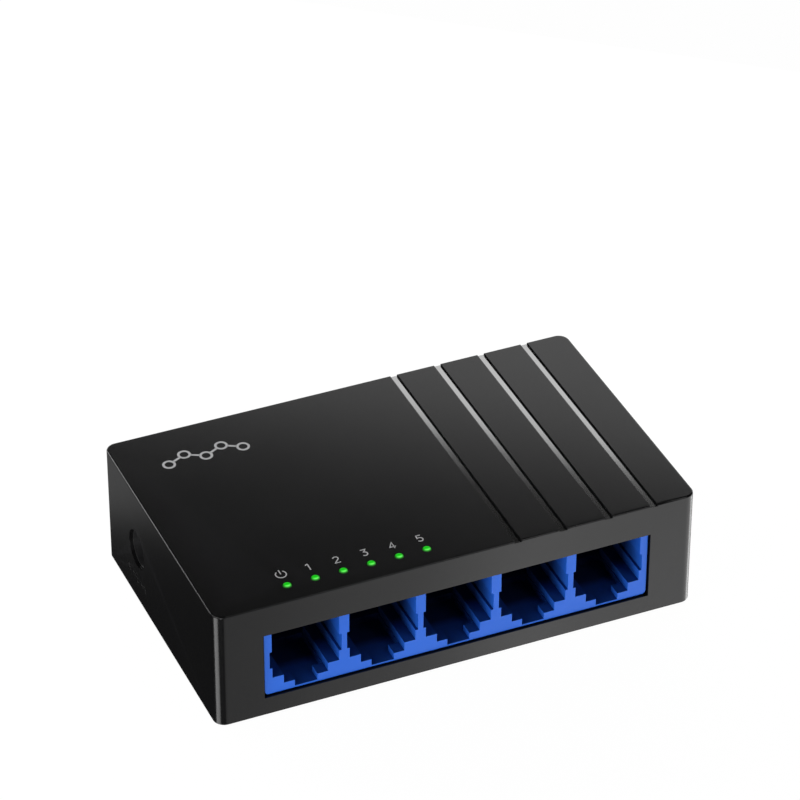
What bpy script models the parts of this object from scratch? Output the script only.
"""A five-port desktop network switch, modelled as the separate pieces it comes apart into.

Metres, +Z up.  The ports face -Y, the long side runs along X, and the origin lies on the surface
that the feet stand on, under the middle of the case.
"""
import math

import bmesh
import bpy
from mathutils import Matrix, Vector

MM = 0.001

# Case.  Heights in this file are measured from the case's underside unless they say otherwise.
WIDTH = 85.1 * MM
DEPTH = 51.35 * MM
CASE_HEIGHT = 21.9 * MM
FOOT_PROUD = 0.7 * MM
WALL = 1.5 * MM
CORNER_RADIUS = 1.95 * MM
TOP_EDGE_RADIUS = 0.3 * MM
GAP = 0.3 * MM
PART_GAP = 0.15 * MM
PAST = 2.0 * MM          # how far a cutting shape runs past the surface that it cuts

HALF_WIDTH = WIDTH / 2
FRONT = -DEPTH / 2
BACK = DEPTH / 2
ROOF_UNDERSIDE = CASE_HEIGHT - WALL
INNER_X = HALF_WIDTH - WALL
INNER_Y = BACK - WALL

# Port window and the blue port block behind it.
PORT_COUNT = 5
PORT_PITCH = 13.44 * MM
WINDOW_WIDTH = 68.6 * MM
WINDOW_BOTTOM = 3.33 * MM
WINDOW_TOP = 16.03 * MM
WINDOW_GAP = 0.25 * MM
BLOCK_WIDTH = WINDOW_WIDTH - 2 * WINDOW_GAP
BLOCK_BOTTOM = WINDOW_BOTTOM + WINDOW_GAP
BLOCK_TOP = 17.0 * MM
BLOCK_FRONT = FRONT + 0.5 * MM
BLOCK_BACK = BLOCK_FRONT + 16.0 * MM
BLOCK_CORNER = 0.7 * MM

# One port opening, from its ceiling down: plug body, side grooves, shoulders, latch, latch tongue.
PORT_CEILING = 15.9 * MM
PLUG_WIDTH = 11.7 * MM
GROOVE_TOP = 11.98 * MM
GROOVE_WIDTH = 12.5 * MM
SHOULDER_TOP = 8.7 * MM
SHOULDER_WIDTH = 11.6 * MM
SHOULDER_FLOOR = 6.76 * MM
LATCH_WIDTH = 7.68 * MM
LATCH_FLOOR = 5.12 * MM
TONGUE_WIDTH = 3.94 * MM
TONGUE_FLOOR = 3.92 * MM
TONGUE_LIP = 2.4 * MM
PORT_DEPTH = 12.9 * MM
CARRIER_WIDTH = PLUG_WIDTH - 2 * 0.12 * MM

# Contacts: eight springs per port, folded back at the mouth.
CONTACT_COUNT = 8
CONTACT_PITCH = 1.02 * MM
CONTACT_WIDTH = 0.36 * MM
CONTACT_LEVEL = 15.3 * MM
CONTACT_FOLD = 4.2 * MM
CONTACT_TIP_DEPTH = 10.6 * MM
CONTACT_TIP_LEVEL = 12.4 * MM
FOLD_RADIUS = 0.35 * MM
COMB_DEPTH = 1.3 * MM
COMB_SETBACK = 0.6 * MM
COMB_BELOW = 0.45 * MM
COMB_ABOVE = 0.4 * MM

# Decorative grooves along the top, front to back.
RIB_GROOVE_FIRST = 10.2 * MM
RIB_GROOVE_PITCH = 8.17 * MM
RIB_GROOVE_COUNT = 4
RIB_GROOVE_WIDTH = 1.33 * MM
RIB_GROOVE_DEPTH = 0.4 * MM

# Indicators: power first, then one for each port.
LIGHT_COUNT = 6
LIGHT_FIRST = -28.55 * MM
LIGHT_PITCH = 4.862 * MM
LIGHT_FROM_FRONT = 3.91 * MM
LIGHT_RADIUS = 0.76 * MM
LIGHT_HOLE_RADIUS = 0.86 * MM
LIGHT_PROUD = 0.12 * MM
TIP_ROUNDING = 0.25 * MM
GUIDE_THICKNESS = 1.6 * MM
GUIDE_LEVEL = 17.5 * MM
GUIDE_BEND = 1.0 * MM
GUIDE_STEP = 0.2 * MM
GUIDE_BAR_FRONT = -17.0 * MM
GUIDE_BAR_BACK = -15.0 * MM
GUIDE_FOOT = 1.5 * MM
LAMP_WIDTH = 2.0 * MM
LAMP_DEPTH = 1.2 * MM
LAMP_HEIGHT = 0.9 * MM

# Power inlet in the left wall.
INLET_Y = BACK - 14.9 * MM
INLET_LEVEL = 10.45 * MM
INLET_HOLE_RADIUS = 3.5 * MM
JACK_LENGTH = 14.0 * MM
JACK_WIDTH = 9.0 * MM
JACK_TOP = 14.6 * MM
JACK_NOSE_RADIUS = 3.35 * MM
JACK_NOSE_SETBACK = 0.6 * MM
JACK_BORE_RADIUS = 3.05 * MM
JACK_BORE_DEPTH = 11.0 * MM
JACK_EDGE = 0.5 * MM
PIN_RADIUS = 1.0 * MM
PIN_SETBACK = 3.75 * MM
SLOT_START = 2.5 * MM
SLOT_END = 9.5 * MM
SLOT_WIDTH = 3.2 * MM
SLOT_OVERLAP = 0.8 * MM
STRIP_WIDTH = 2.4 * MM
STRIP_THICKNESS = 0.3 * MM
STRIP_FRONT = 3.2 * MM
STRIP_TOUCH = 6.0 * MM
STRIP_BACK = 8.9 * MM
STRIP_FOOT = 0.6 * MM
STRIP_DROP = 0.35 * MM
STRIP_RISE = 0.25 * MM

# Circuit board.
BOARD_TOP = BLOCK_BOTTOM - GAP
BOARD_THICKNESS = 1.2 * MM
BOARD_HALF_WIDTH = 38.9 * MM
BOARD_FRONT = FRONT + WALL + GAP
BOARD_BACK = 22.2 * MM
BOARD_CORNER = 1.0 * MM
LIGHT_ROW = -7.9 * MM
MAGNETICS_ROW = -1.4 * MM

# Posts under the roof and stands on the base, which hold the board between them.
FRONT_POST = (37.0 * MM, -19.0 * MM)
REAR_POST = (35.6 * MM, 19.6 * MM)
POST_RADIUS = 1.4 * MM
STAND_RADIUS = 2.2 * MM
LOCATING_SPOT = (36.6 * MM, -7.0 * MM)
LOCATING_PIN_RADIUS = 1.1 * MM
LOCATING_PIN_RISE = 1.2 * MM

# Base plate, its snap hooks and its vents.
BASE_THICKNESS = 1.2 * MM
BASE_CORNER = 0.6 * MM
HOOK_THICKNESS = 1.2 * MM
HOOK_WIDTH = 6.0 * MM
HOOK_TOP = 6.6 * MM
NOSE_LOW = 5.2 * MM
NOSE_HIGH = 6.2 * MM
NOSE_REACH = 0.8 * MM
NOSE_TRIM = 0.2 * MM
NOSE_CHAMFER = 0.35 * MM
SIDE_HOOKS = (-13.0 * MM, 19.0 * MM)
BACK_HOOKS = (-26.0 * MM, 0.0, 26.0 * MM)
VENT_LENGTH = 11.0 * MM
VENT_WIDTH = 1.6 * MM
VENT_PITCH = 4.0 * MM
VENTS_PER_ROW = 9
VENT_ROWS = (-5.5 * MM, 9.5 * MM)

# Feet.
FOOT_RADIUS = 4.0 * MM
FOOT_X = 34.0 * MM
FOOT_Y = 18.5 * MM
FOOT_RECESS = 0.4 * MM
FOOT_EDGE = 0.25 * MM

# Parts on the board.
LEG_INNER_SHARE = 0.55
CHIP_SIZE = 10.0 * MM
CHIP_SPOT = (6.0 * MM, 11.0 * MM)
CHIP_BOTTOM = 0.2 * MM
CHIP_TOP = 1.6 * MM
CHIP_LEGS = 12
CHIP_LEG_PITCH = 0.75 * MM
CHIP_LEG_WIDTH = 0.34 * MM
CHIP_LEG_REACH = 6.0 * MM
CHIP_LEG_HEIGHT = 0.5 * MM
MAGNETICS_WIDTH = 11.8 * MM
MAGNETICS_DEPTH = 6.8 * MM
MAGNETICS_BOTTOM = 0.25 * MM
MAGNETICS_TOP = 4.2 * MM
MAGNETICS_LEGS = 8
MAGNETICS_LEG_PITCH = 1.27 * MM
MAGNETICS_LEG_WIDTH = 0.45 * MM
MAGNETICS_LEG_REACH = 4.5 * MM
MAGNETICS_LEG_HEIGHT = 0.6 * MM
CRYSTAL_SPOT = (18.5 * MM, 14.0 * MM)
CRYSTAL_WIDTH = 4.6 * MM
CRYSTAL_LENGTH = 10.4 * MM
CRYSTAL_HEIGHT = 3.6 * MM
CRYSTAL_END_RADIUS = 2.2 * MM
BOARD_PART_EDGE = 0.4 * MM


# ---------------------------------------------------------------- scene and small helpers

def clear_scene():
    for obj in list(bpy.data.objects):
        bpy.data.objects.remove(obj, do_unlink=True)


def new_collection(name):
    collection = bpy.data.collections.new(name)
    bpy.context.scene.collection.children.link(collection)
    return collection


def new_material(name, colour, roughness, metallic=0.0):
    material = bpy.data.materials.new(name)
    material.use_nodes = True
    shader = material.node_tree.nodes["Principled BSDF"]
    shader.inputs["Base Color"].default_value = (*colour, 1.0)
    shader.inputs["Roughness"].default_value = roughness
    shader.inputs["Metallic"].default_value = metallic
    material.diffuse_color = (*colour, 1.0)
    return material


def brick(bm, low, high):
    """Add a box between two opposite corners."""
    low, high = Vector(low), Vector(high)
    verts = bmesh.ops.create_cube(bm, size=1.0)["verts"]
    bmesh.ops.scale(bm, vec=high - low, verts=verts)
    bmesh.ops.translate(bm, vec=(low + high) / 2, verts=verts)
    return verts


def rod(bm, radius, start, end, segments=24):
    """Add a round bar between two points."""
    start, end = Vector(start), Vector(end)
    axis = end - start
    turn = axis.to_track_quat("Z", "Y").to_matrix().to_4x4()
    bmesh.ops.create_cone(
        bm, cap_ends=True, segments=segments, radius1=radius, radius2=radius,
        depth=axis.length, matrix=Matrix.Translation((start + end) / 2) @ turn)


def round_edges(bm, radius, segments, chosen):
    """Round the edges for which chosen(first point, second point) is true."""
    edges = [edge for edge in bm.edges if chosen(edge.verts[0].co, edge.verts[1].co)]
    bmesh.ops.bevel(bm, geom=edges, offset=radius, offset_type="OFFSET", segments=segments,
                    profile=0.5, affect="EDGES")


def is_upright(first, second):
    return abs(first.z - second.z) > abs(first.x - second.x) + abs(first.y - second.y)


def mesh_from(name, shape):
    """Make a mesh by handing an empty bmesh to shape()."""
    bm = bmesh.new()
    shape(bm)
    bmesh.ops.recalc_face_normals(bm, faces=bm.faces)
    mesh = bpy.data.meshes.new(name)
    bm.to_mesh(mesh)
    bm.free()
    return mesh


def smooth(mesh, angle=35.0):
    mesh.shade_smooth()
    mesh.set_sharp_from_angle(angle=math.radians(angle))


class Kit:
    """The collections and parent empties that the pieces are put into."""

    def __init__(self):
        self.parts = new_collection("desktop_network_switch")
        self.cutters = new_collection("cutters")
        self.case = self.empty("case_level", (0, 0, FOOT_PROUD), None)
        self.board = self.empty("board_level", (0, 0, BOARD_TOP), self.case)

    def empty(self, name, location, parent):
        empty = bpy.data.objects.new(name, None)
        empty.location = location
        empty.parent = parent
        self.parts.objects.link(empty)
        return empty

    def piece(self, name, mesh, material, location=(0, 0, 0), parent=None):
        """Place a mesh as a named piece, on the case level unless a parent is given."""
        piece = bpy.data.objects.new(name, mesh)
        if not mesh.materials:
            mesh.materials.append(material)
        piece.location = location
        piece.parent = parent or self.case
        self.parts.objects.link(piece)
        return piece

    def tool(self, piece, name, shape, operation):
        """Cut a shape from a piece, or weld it on, with a Boolean modifier."""
        tool = bpy.data.objects.new(name, mesh_from(name, shape))
        tool.hide_render = True
        tool.display_type = "WIRE"
        tool.location = piece.location
        tool.parent = piece.parent
        self.cutters.objects.link(tool)
        boolean = piece.modifiers.new(name, "BOOLEAN")
        boolean.operation = operation
        boolean.solver = "EXACT"
        boolean.object = tool
        return tool

    def cut(self, piece, name, shape):
        return self.tool(piece, name, shape, "DIFFERENCE")

    def weld(self, piece, name, shape):
        return self.tool(piece, name, shape, "UNION")


def turned(kit, name, profile, material, location, parent=None, steps=24):
    """A round piece: its outer profile, from the top down as (radius, height), about Z."""
    mesh = bpy.data.meshes.new(name)
    points = [(radius, 0.0, height) for radius, height in profile]
    edges = [(index, index + 1) for index in range(len(points) - 1)]
    mesh.from_pydata(points, edges, [])
    piece = kit.piece(name, mesh, material, location, parent)
    screw = piece.modifiers.new("turn", "SCREW")
    screw.axis = "Z"
    screw.angle = math.tau
    screw.steps = steps
    screw.render_steps = steps
    screw.use_merge_vertices = True
    screw.merge_threshold = 0.00001
    screw.use_smooth_shade = True
    return piece


def port_centres():
    middle = (PORT_COUNT - 1) / 2
    return [(index - middle) * PORT_PITCH for index in range(PORT_COUNT)]


def light_centres():
    return [LIGHT_FIRST + index * LIGHT_PITCH for index in range(LIGHT_COUNT)]


# ---------------------------------------------------------------- case

def make_top_cover(kit, plastic):
    """The five-sided shell: roof, four walls, port window, inlet hole and indicator holes."""

    def outside(bm):
        brick(bm, (-HALF_WIDTH, FRONT, 0), (HALF_WIDTH, BACK, CASE_HEIGHT))
        round_edges(bm, CORNER_RADIUS, 6, is_upright)
        round_edges(bm, TOP_EDGE_RADIUS, 2,
                    lambda a, b: min(a.z, b.z) > CASE_HEIGHT - TOP_EDGE_RADIUS / 2)

    def inside(bm):
        brick(bm, (-INNER_X, -INNER_Y, -PAST), (INNER_X, INNER_Y, ROOF_UNDERSIDE))
        round_edges(bm, CORNER_RADIUS - WALL, 2, is_upright)

    def board_posts(bm):
        for x, y in (FRONT_POST, REAR_POST):
            for side in (-1, 1):
                rod(bm, POST_RADIUS, (side * x, y, BOARD_TOP + GAP),
                    (side * x, y, ROOF_UNDERSIDE + WALL / 2), segments=12)

    def window(bm):
        brick(bm, (-WINDOW_WIDTH / 2, FRONT - PAST, WINDOW_BOTTOM),
              (WINDOW_WIDTH / 2, FRONT + WALL + PAST, WINDOW_TOP))

    def inlet(bm):
        rod(bm, INLET_HOLE_RADIUS, (-HALF_WIDTH - PAST, INLET_Y, INLET_LEVEL),
            (-INNER_X + PAST, INLET_Y, INLET_LEVEL), segments=36)

    def light_holes(bm):
        for x in light_centres():
            y = FRONT + LIGHT_FROM_FRONT
            rod(bm, LIGHT_HOLE_RADIUS, (x, y, ROOF_UNDERSIDE - PAST), (x, y, CASE_HEIGHT + PAST),
                segments=20)

    def rib_grooves(bm):
        for index in range(RIB_GROOVE_COUNT):
            x = RIB_GROOVE_FIRST + index * RIB_GROOVE_PITCH
            brick(bm, (x - RIB_GROOVE_WIDTH / 2, FRONT - PAST, CASE_HEIGHT - RIB_GROOVE_DEPTH),
                  (x + RIB_GROOVE_WIDTH / 2, BACK + PAST, CASE_HEIGHT + PAST))

    def snap_recesses(bm):
        half = HOOK_WIDTH / 2 + GAP
        low, high = NOSE_LOW - GAP, NOSE_HIGH + GAP
        for y in SIDE_HOOKS:
            for side in (-1, 1):
                near, far = sorted((side * (INNER_X - PAST), side * (INNER_X + NOSE_REACH)))
                brick(bm, (near, y - half, low), (far, y + half, high))
        for x in BACK_HOOKS:
            brick(bm, (x - half, INNER_Y - PAST, low), (x + half, INNER_Y + NOSE_REACH, high))

    cover = kit.piece("top_cover", mesh_from("top_cover", outside), plastic)
    kit.cut(cover, "cover_inside", inside)
    kit.weld(cover, "cover_board_posts", board_posts)
    kit.cut(cover, "cover_window", window)
    kit.cut(cover, "cover_inlet", inlet)
    kit.cut(cover, "cover_light_holes", light_holes)
    kit.cut(cover, "cover_rib_grooves", rib_grooves)
    kit.cut(cover, "cover_snap_recesses", snap_recesses)


def make_base_cover(kit, plastic):
    """The bottom plate, which snaps up into the cover and carries the board."""
    plate_x, plate_y = INNER_X - GAP, INNER_Y - GAP

    def plate(bm):
        brick(bm, (-plate_x, -plate_y, 0), (plate_x, plate_y, BASE_THICKNESS))
        round_edges(bm, BASE_CORNER, 2, is_upright)

    def hook_stems(bm):
        half, low = HOOK_WIDTH / 2, BASE_THICKNESS / 2
        for y in SIDE_HOOKS:
            for side in (-1, 1):
                near, far = sorted((side * (plate_x - HOOK_THICKNESS), side * plate_x))
                brick(bm, (near, y - half, low), (far, y + half, HOOK_TOP))
        for x in BACK_HOOKS:
            brick(bm, (x - half, plate_y - HOOK_THICKNESS, low), (x + half, plate_y, HOOK_TOP))

    def hook_noses(bm):
        half = HOOK_WIDTH / 2 - NOSE_TRIM
        root = HOOK_THICKNESS / 2
        for y in SIDE_HOOKS:
            for side in (-1, 1):
                near, far = sorted((side * (plate_x - root), side * (plate_x + NOSE_REACH)))
                brick(bm, (near, y - half, NOSE_LOW), (far, y + half, NOSE_HIGH))
        for x in BACK_HOOKS:
            brick(bm, (x - half, plate_y - root, NOSE_LOW), (x + half, plate_y + NOSE_REACH, NOSE_HIGH))
        round_edges(bm, NOSE_CHAMFER, 1, lambda a, b: min(a.z, b.z) > NOSE_HIGH - NOSE_TRIM
                    and (a - b).length > half)

    def stands(bm):
        top = BOARD_TOP - BOARD_THICKNESS - GAP
        for x, y in (LOCATING_SPOT, REAR_POST):
            for side in (-1, 1):
                rod(bm, STAND_RADIUS, (side * x, y, BASE_THICKNESS / 2), (side * x, y, top), segments=16)

    def locating_pins(bm):
        x, y = LOCATING_SPOT
        for side in (-1, 1):
            rod(bm, LOCATING_PIN_RADIUS, (side * x, y, BASE_THICKNESS / 2),
                (side * x, y, BOARD_TOP + LOCATING_PIN_RISE), segments=16)

    def vents(bm):
        middle = (VENTS_PER_ROW - 1) / 2
        for y in VENT_ROWS:
            for index in range(VENTS_PER_ROW):
                x = (index - middle) * VENT_PITCH
                brick(bm, (x - VENT_WIDTH / 2, y - VENT_LENGTH / 2, -PAST),
                      (x + VENT_WIDTH / 2, y + VENT_LENGTH / 2, BASE_THICKNESS + PAST))

    def foot_recesses(bm):
        for x in (-FOOT_X, FOOT_X):
            for y in (-FOOT_Y, FOOT_Y):
                rod(bm, FOOT_RADIUS + GAP, (x, y, -PAST), (x, y, FOOT_RECESS), segments=24)

    base = kit.piece("base_cover", mesh_from("base_cover", plate), plastic)
    kit.weld(base, "base_hook_stems", hook_stems)
    kit.weld(base, "base_hook_noses", hook_noses)
    kit.weld(base, "base_stands", stands)
    kit.weld(base, "base_locating_pins", locating_pins)
    kit.cut(base, "base_vents", vents)
    kit.cut(base, "base_foot_recesses", foot_recesses)


def make_feet(kit, rubber):
    """Four stick-on rubber feet, seated in shallow recesses under the base."""
    top = FOOT_RECESS - PART_GAP
    bottom = -FOOT_PROUD
    profile = [(0.0, top), (FOOT_RADIUS, top), (FOOT_RADIUS, bottom + FOOT_EDGE),
               (FOOT_RADIUS - FOOT_EDGE, bottom), (0.0, bottom)]
    for row, y in (("front", -FOOT_Y), ("rear", FOOT_Y)):
        for side, x in (("left", -FOOT_X), ("right", FOOT_X)):
            turned(kit, f"foot_{row}_{side}", profile, rubber, (x, y, 0))


# ---------------------------------------------------------------- ports

def port_bricks(bm, width, low, high, front, back):
    """One box of the given width in each port."""
    for x in port_centres():
        brick(bm, (x - width / 2, front, low), (x + width / 2, back, high))


def make_port_block(kit, plastic):
    """The one-piece housing of all the ports, with stepped openings and an open back."""
    mouth = BLOCK_FRONT - PAST
    end = BLOCK_FRONT + PORT_DEPTH

    def outside(bm):
        brick(bm, (-BLOCK_WIDTH / 2, BLOCK_FRONT, BLOCK_BOTTOM), (BLOCK_WIDTH / 2, BLOCK_BACK, BLOCK_TOP))
        round_edges(bm, BLOCK_CORNER, 3, lambda a, b: abs(a.y - b.y) > PAST)

    def carrier_pocket(bm):
        port_bricks(bm, PLUG_WIDTH, LATCH_FLOOR, PORT_CEILING, end - PAST, BLOCK_BACK + PAST)

    def front_step(bm):
        """Behind the cover's front wall the block is taller than the window."""
        brick(bm, (-BLOCK_WIDTH, mouth, WINDOW_TOP - WINDOW_GAP),
              (BLOCK_WIDTH, FRONT + WALL + GAP, BLOCK_TOP + PAST))

    block = kit.piece("port_block", mesh_from("port_block", outside), plastic)
    middle_level = (GROOVE_TOP + SHOULDER_TOP) / 2
    kit.cut(block, "port_plug_space",
            lambda bm: port_bricks(bm, PLUG_WIDTH, middle_level, PORT_CEILING, mouth, end))
    kit.cut(block, "port_side_grooves",
            lambda bm: port_bricks(bm, GROOVE_WIDTH, SHOULDER_TOP, GROOVE_TOP, mouth, end - GAP))
    kit.cut(block, "port_shoulders",
            lambda bm: port_bricks(bm, SHOULDER_WIDTH, SHOULDER_FLOOR, middle_level, mouth, end))
    kit.cut(block, "port_latch_space",
            lambda bm: port_bricks(bm, LATCH_WIDTH, LATCH_FLOOR, SHOULDER_TOP, mouth, end))
    kit.cut(block, "port_tongue_notch",
            lambda bm: port_bricks(bm, TONGUE_WIDTH, TONGUE_FLOOR, SHOULDER_FLOOR, mouth, end - PAST))
    kit.cut(block, "port_latch_catch",
            lambda bm: port_bricks(bm, LATCH_WIDTH - GAP, TONGUE_FLOOR, SHOULDER_FLOOR,
                                   BLOCK_FRONT + TONGUE_LIP, end - PAST))
    kit.cut(block, "port_carrier_pocket", carrier_pocket)
    kit.cut(block, "port_front_step", front_step)


def make_contacts(kit, carrier_plastic, gold):
    """Two pieces for each port: the carrier that closes its back, and the comb of eight springs."""
    front = BLOCK_FRONT + PORT_DEPTH + GAP

    def carrier(bm):
        brick(bm, (-CARRIER_WIDTH / 2, front, LATCH_FLOOR + GAP),
              (CARRIER_WIDTH / 2, BLOCK_BACK - GAP, PORT_CEILING - PART_GAP))

    def comb(bm):
        half_width = CONTACT_COUNT / 2 * CONTACT_PITCH
        brick(bm, (-half_width, front - COMB_SETBACK - COMB_DEPTH, CONTACT_LEVEL - COMB_BELOW),
              (half_width, front - COMB_SETBACK, CONTACT_LEVEL + COMB_ABOVE))

    def springs(bm):
        """Each spring runs forward under the ceiling, folds over, and slopes back down."""
        fold = BLOCK_FRONT + CONTACT_FOLD
        route = [
            (front - GAP, CONTACT_LEVEL),
            (fold, CONTACT_LEVEL),
            (fold - FOLD_RADIUS, CONTACT_LEVEL - FOLD_RADIUS),
            (fold, CONTACT_LEVEL - 2 * FOLD_RADIUS),
            (BLOCK_FRONT + CONTACT_TIP_DEPTH, CONTACT_TIP_LEVEL),
        ]
        for index in range(CONTACT_COUNT):
            x = (index - (CONTACT_COUNT - 1) / 2) * CONTACT_PITCH
            sweep_square(bm, [Vector((x, y, z)) for y, z in route], CONTACT_WIDTH / 2)

    carrier_mesh = mesh_from("contact_carrier", carrier)
    for number, x in enumerate(port_centres(), start=1):
        kit.piece(f"port_{number}_contact_carrier", carrier_mesh, carrier_plastic, (x, 0, 0))
        comb_piece = kit.piece(f"port_{number}_contact_springs", mesh_from("contact_comb", comb), gold,
                               (x, 0, 0))
        kit.weld(comb_piece, f"port_{number}_spring_wires", springs)


def sweep_square(bm, route, half):
    """Add a square wire along a route that stays in one plane of constant X."""
    loops = []
    for index, point in enumerate(route):
        before = route[max(index - 1, 0)]
        after = route[min(index + 1, len(route) - 1)]
        first = (point - before).normalized() if index else (after - point).normalized()
        last = (after - point).normalized() if index < len(route) - 1 else first
        along = (first + last).normalized()
        across = Vector((0, -along.z, along.y))
        stretch = 1.0 / max(0.5, along.dot(first))
        corners = [(-half, -half), (half, -half), (half, half), (-half, half)]
        loops.append([bm.verts.new(point + Vector((u, 0, 0)) + across * v * stretch) for u, v in corners])
    for loop, following in zip(loops, loops[1:]):
        for corner in range(4):
            beside = (corner + 1) % 4
            bm.faces.new((loop[corner], loop[beside], following[beside], following[corner]))
    bm.faces.new(reversed(loops[0]))
    bm.faces.new(loops[-1])


# ---------------------------------------------------------------- indicators

def make_light_guide(kit, clear_plastic):
    """One clear moulding: six arms from the lamps on the board to the tips in the cover."""
    tip_y = FRONT + LIGHT_FROM_FRONT
    half = GUIDE_THICKNESS / 2
    arm_top = GUIDE_LEVEL + GUIDE_THICKNESS

    def cross_bar(bm):
        centres = light_centres()
        brick(bm, (centres[0] - half, GUIDE_BAR_FRONT, GUIDE_LEVEL + GUIDE_STEP),
              (centres[-1] + half, GUIDE_BAR_BACK, arm_top - GUIDE_STEP))

    def arms(bm):
        for x in light_centres():
            brick(bm, (x - half, tip_y - half, GUIDE_LEVEL), (x + half, LIGHT_ROW + half, arm_top))
        round_edges(bm, GUIDE_BEND, 1, lambda a, b: (a - b).length < abs(a.x - b.x) + PART_GAP / 2
                    and (a.y > LIGHT_ROW) == (a.z > GUIDE_LEVEL + half))

    def drops(bm):
        slim = half - GUIDE_STEP / 2
        for x in light_centres():
            brick(bm, (x - slim, LIGHT_ROW - slim, BOARD_TOP + GUIDE_FOOT),
                  (x + slim, LIGHT_ROW + slim, GUIDE_LEVEL + half / 2))

    def tips(bm):
        for x in light_centres():
            rod(bm, LIGHT_RADIUS, (x, tip_y, GUIDE_LEVEL + half),
                (x, tip_y, CASE_HEIGHT + LIGHT_PROUD), segments=20)
        round_edges(bm, TIP_ROUNDING, 3, lambda a, b: min(a.z, b.z) > CASE_HEIGHT)

    guide = kit.piece("light_guide", mesh_from("light_guide", cross_bar), clear_plastic)
    kit.weld(guide, "guide_arms", arms)
    kit.weld(guide, "guide_drops", drops)
    kit.weld(guide, "guide_tips", tips)


def make_lamps(kit, lens):
    """Surface-mount green lamps on the board, one under each arm of the light guide."""

    def lamp(bm):
        brick(bm, (-LAMP_WIDTH / 2, -LAMP_DEPTH / 2, PART_GAP), (LAMP_WIDTH / 2, LAMP_DEPTH / 2, LAMP_HEIGHT))
        round_edges(bm, TIP_ROUNDING, 1, lambda a, b: min(a.z, b.z) > LAMP_HEIGHT / 2)

    mesh = mesh_from("lamp", lamp)
    names = ["lamp_power"] + [f"lamp_port_{number}" for number in range(1, PORT_COUNT + 1)]
    for name, x in zip(names, light_centres()):
        kit.piece(name, mesh, lens, (x, LIGHT_ROW, 0), kit.board)


# ---------------------------------------------------------------- power inlet

def make_power_inlet(kit, plastic, metal):
    """The barrel jack: housing with a round nose, centre pin and outer spring contact."""
    face = -INNER_X + GAP
    nose = -HALF_WIDTH + JACK_NOSE_SETBACK
    bore_end = face + JACK_BORE_DEPTH

    def housing(bm):
        brick(bm, (face, INLET_Y - JACK_WIDTH / 2, BOARD_TOP + PART_GAP),
              (face + JACK_LENGTH, INLET_Y + JACK_WIDTH / 2, JACK_TOP))
        round_edges(bm, JACK_EDGE, 1, lambda a, b: abs(a.x - b.x) > PAST and min(a.z, b.z) > INLET_LEVEL)

    def nose_ring(bm):
        rod(bm, JACK_NOSE_RADIUS, (nose, INLET_Y, INLET_LEVEL), (face + WALL, INLET_Y, INLET_LEVEL),
            segments=32)

    def bore(bm):
        rod(bm, JACK_BORE_RADIUS, (nose - PAST, INLET_Y, INLET_LEVEL), (bore_end, INLET_Y, INLET_LEVEL),
            segments=32)

    def pin_hole(bm):
        rod(bm, PIN_RADIUS + GAP, (bore_end - PAST, INLET_Y, INLET_LEVEL),
            (face + JACK_LENGTH + PAST, INLET_Y, INLET_LEVEL), segments=16)

    def spring_slot(bm):
        brick(bm, (face + SLOT_START, INLET_Y - SLOT_WIDTH / 2, BOARD_TOP - PAST),
              (face + SLOT_END, INLET_Y + SLOT_WIDTH / 2, INLET_LEVEL - JACK_BORE_RADIUS + SLOT_OVERLAP))

    jack = kit.piece("power_jack_housing", mesh_from("power_jack_housing", housing), plastic)
    kit.weld(jack, "jack_nose", nose_ring)
    kit.cut(jack, "jack_bore", bore)
    kit.cut(jack, "jack_pin_hole", pin_hole)
    kit.cut(jack, "jack_spring_slot", spring_slot)

    tip = -HALF_WIDTH + PIN_SETBACK
    length = face + JACK_LENGTH - tip
    profile = [(0.0, length), (0.7 * PIN_RADIUS, length - 0.15 * MM), (PIN_RADIUS, length - 0.6 * MM),
               (PIN_RADIUS, 0.0), (0.0, 0.0)]
    pin = turned(kit, "power_jack_centre_pin", profile, metal,
                 (face + JACK_LENGTH, INLET_Y, INLET_LEVEL), steps=16)
    pin.rotation_euler = (0, -math.pi / 2, 0)
    make_jack_spring(kit, metal, face)


def make_jack_spring(kit, metal, face):
    """The bent strip under the bore that presses on the plug's sleeve."""
    half_strip = STRIP_WIDTH / 2
    floor = INLET_LEVEL - JACK_BORE_RADIUS
    bends = [
        (face + STRIP_BACK, BOARD_TOP + STRIP_FOOT),
        (face + STRIP_BACK, floor - STRIP_DROP),
        (face + STRIP_TOUCH, floor + STRIP_RISE),
        (face + STRIP_FRONT, floor - STRIP_DROP),
    ]
    verts = []
    for x, z in bends:
        verts += [(x, INLET_Y - half_strip, z), (x, INLET_Y + half_strip, z)]
    faces = [(2 * i, 2 * i + 1, 2 * i + 3, 2 * i + 2) for i in range(len(bends) - 1)]
    mesh = bpy.data.meshes.new("power_jack_spring")
    mesh.from_pydata(verts, [], faces)
    spring = kit.piece("power_jack_sleeve_spring", mesh, metal)
    solidify = spring.modifiers.new("thickness", "SOLIDIFY")
    solidify.thickness = STRIP_THICKNESS
    solidify.offset = 0.0


# ---------------------------------------------------------------- circuit board and its parts

def make_main_board(kit, laminate):
    def outline(bm):
        brick(bm, (-BOARD_HALF_WIDTH, BOARD_FRONT, -BOARD_THICKNESS), (BOARD_HALF_WIDTH, BOARD_BACK, 0))
        round_edges(bm, BOARD_CORNER, 3, is_upright)

    def locating_holes(bm):
        x, y = LOCATING_SPOT
        for side in (-1, 1):
            rod(bm, LOCATING_PIN_RADIUS + GAP, (side * x, y, -BOARD_THICKNESS - PAST), (side * x, y, PAST),
                segments=20)

    board = kit.piece("main_board", mesh_from("main_board", outline), laminate, parent=kit.board)
    kit.cut(board, "board_locating_holes", locating_holes)


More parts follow.
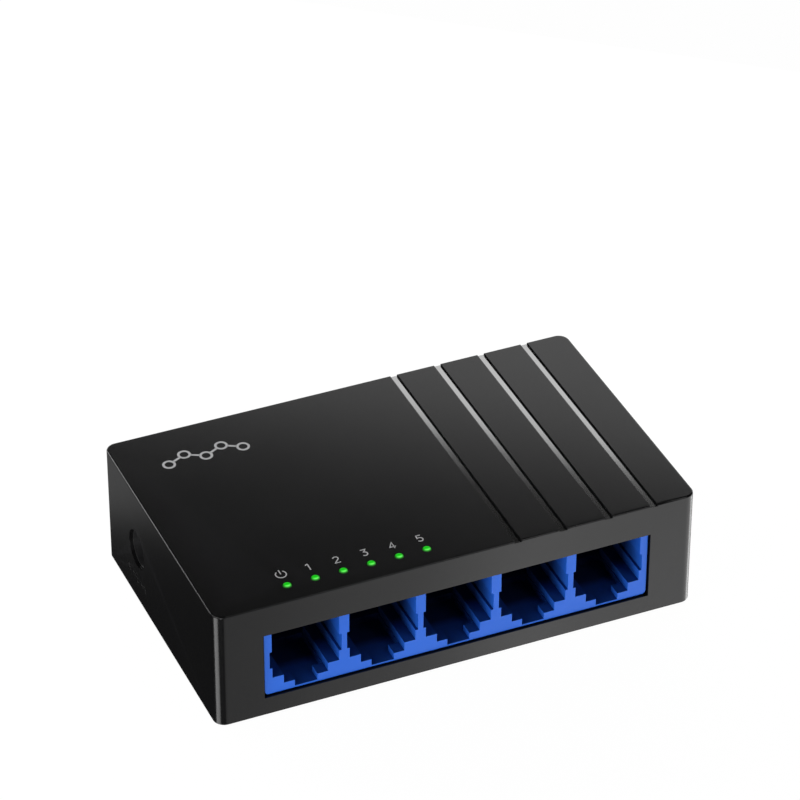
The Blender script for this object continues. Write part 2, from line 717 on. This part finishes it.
def leg_row(bm, count, pitch, width, reach, height, along_x):
    """Two facing rows of flat legs, which start inside the package and reach out from it."""
    for index in range(count):
        offset = (index - (count - 1) / 2) * pitch
        for side in (-1, 1):
            near, far = sorted((side * reach * LEG_INNER_SHARE, side * reach))
            if along_x:
                brick(bm, (offset - width / 2, near, PART_GAP), (offset + width / 2, far, height))
            else:
                brick(bm, (near, offset - width / 2, PART_GAP), (far, offset + width / 2, height))


def make_switch_chip(kit, resin):
    """The flat square switch controller, with legs on all four sides."""
    half = CHIP_SIZE / 2

    def body(bm):
        brick(bm, (-half, -half, CHIP_BOTTOM), (half, half, CHIP_TOP))
        round_edges(bm, TIP_ROUNDING, 1, lambda a, b: min(a.z, b.z) > CHIP_TOP / 2)

    def legs(along_x):
        return lambda bm: leg_row(bm, CHIP_LEGS, CHIP_LEG_PITCH, CHIP_LEG_WIDTH, CHIP_LEG_REACH,
                                  CHIP_LEG_HEIGHT, along_x)

    chip = kit.piece("switch_chip", mesh_from("switch_chip", body), resin, (*CHIP_SPOT, 0), kit.board)
    kit.weld(chip, "chip_legs_front", legs(True))
    kit.weld(chip, "chip_legs_side", legs(False))


def make_magnetics(kit, resin):
    """One isolating transformer pack for each port, in a row behind the port block."""

    def body(bm):
        brick(bm, (-MAGNETICS_WIDTH / 2, -MAGNETICS_DEPTH / 2, MAGNETICS_BOTTOM),
              (MAGNETICS_WIDTH / 2, MAGNETICS_DEPTH / 2, MAGNETICS_TOP))
        round_edges(bm, BOARD_PART_EDGE, 1, lambda a, b: min(a.z, b.z) > MAGNETICS_TOP / 2)

    def legs(bm):
        leg_row(bm, MAGNETICS_LEGS, MAGNETICS_LEG_PITCH, MAGNETICS_LEG_WIDTH, MAGNETICS_LEG_REACH,
                MAGNETICS_LEG_HEIGHT, True)

    for number, x in enumerate(port_centres(), start=1):
        pack = kit.piece(f"port_{number}_magnetics", mesh_from("magnetics", body), resin,
                         (x, MAGNETICS_ROW, 0), kit.board)
        kit.weld(pack, f"magnetics_{number}_legs", legs)


def block_part(kit, name, size, centre, material, edge):
    """A simple moulded part on the board, with its upper edges eased."""
    width, depth, height = (value * MM for value in size)

    def shape(bm):
        brick(bm, (-width / 2, -depth / 2, PART_GAP), (width / 2, depth / 2, height))
        round_edges(bm, edge, 1, lambda a, b: min(a.z, b.z) > height / 2)

    return kit.piece(name, mesh_from(name, shape), material, (centre[0] * MM, centre[1] * MM, 0), kit.board)


def make_crystal(kit, metal):
    def can(bm):
        brick(bm, (-CRYSTAL_WIDTH / 2, -CRYSTAL_LENGTH / 2, PART_GAP),
              (CRYSTAL_WIDTH / 2, CRYSTAL_LENGTH / 2, CRYSTAL_HEIGHT))
        round_edges(bm, CRYSTAL_END_RADIUS, 4, is_upright)
        round_edges(bm, BOARD_PART_EDGE, 2, lambda a, b: min(a.z, b.z) > CRYSTAL_HEIGHT / 2)

    crystal = kit.piece("crystal", mesh_from("crystal", can), metal, (*CRYSTAL_SPOT, 0), kit.board)
    smooth(crystal.data)


def make_capacitor(kit, name, radius, height, centre, metal):
    """An upright aluminium can with a crimped groove near its base."""
    radius, height = radius * MM, height * MM
    profile = [
        (0.0, height), (radius - 0.3 * MM, height), (radius, height - 0.3 * MM), (radius, 1.7 * MM),
        (radius - 0.25 * MM, 1.4 * MM), (radius, 1.1 * MM), (radius, PART_GAP), (0.0, PART_GAP),
    ]
    turned(kit, name, profile, metal, (centre[0] * MM, centre[1] * MM, 0), kit.board, steps=20)


def make_board_parts(kit, resin, metal, ferrite, ceramic):
    make_switch_chip(kit, resin)
    make_magnetics(kit, resin)
    make_crystal(kit, metal)
    make_capacitor(kit, "input_capacitor", 3.15, 7.2, (-22.4, 8.2), metal)
    make_capacitor(kit, "output_capacitor", 2.5, 6.0, (-9.6, 17.4), metal)
    block_part(kit, "power_inductor", (5.2, 5.2, 3.0), (-20.4, 16.6), ferrite, 0.6 * MM)
    block_part(kit, "voltage_regulator", (3.0, 1.7, 1.2), (-14.6, 12.6), resin, 0.15 * MM)
    block_part(kit, "input_diode", (4.3, 2.6, 2.2), (-15.2, 8.0), resin, 0.2 * MM)
    block_part(kit, "surge_capacitor", (4.6, 2.0, 1.7), (31.0, 14.0), ceramic, 0.1 * MM)
    for number in range(1, PORT_COUNT + 1):
        centre = (12.0 + 4.4 * number, 5.6)
        block_part(kit, f"port_{number}_resistor_array", (3.2, 1.6, 0.6), centre, ceramic, 0.08 * MM)
    for number in range(1, 5):
        centre = (-3.6, 4.6 + 3.0 * number)
        block_part(kit, f"decoupling_capacitor_{number}", (2.0, 1.25, 0.85), centre, ceramic, 0.1 * MM)


def main():
    clear_scene()
    kit = Kit()
    black_plastic = new_material("black_plastic", (0.020, 0.021, 0.022), 0.45)
    blue_plastic = new_material("blue_plastic", (0.03, 0.14, 0.62), 0.4)
    rubber = new_material("rubber", (0.02, 0.02, 0.02), 0.85)
    carrier_plastic = new_material("carrier_plastic", (0.015, 0.018, 0.03), 0.4)
    gold = new_material("gold", (0.85, 0.62, 0.22), 0.25, 1.0)
    clear_plastic = new_material("clear_plastic", (0.6, 0.9, 0.6), 0.1)
    lamp_lens = new_material("lamp_lens", (0.1, 0.8, 0.1), 0.2)
    laminate = new_material("laminate", (0.01, 0.12, 0.05), 0.4)
    resin = new_material("chip_resin", (0.02, 0.02, 0.022), 0.5)
    bright_metal = new_material("bright_metal", (0.75, 0.75, 0.76), 0.25, 1.0)
    ferrite = new_material("ferrite", (0.05, 0.05, 0.055), 0.6)
    ceramic = new_material("ceramic", (0.35, 0.25, 0.15), 0.5)

    make_top_cover(kit, black_plastic)
    make_base_cover(kit, black_plastic)
    make_feet(kit, rubber)
    make_port_block(kit, blue_plastic)
    make_contacts(kit, carrier_plastic, gold)
    make_light_guide(kit, clear_plastic)
    make_lamps(kit, lamp_lens)
    make_power_inlet(kit, resin, bright_metal)
    make_main_board(kit, laminate)
    make_board_parts(kit, resin, bright_metal, ferrite, ceramic)


main()
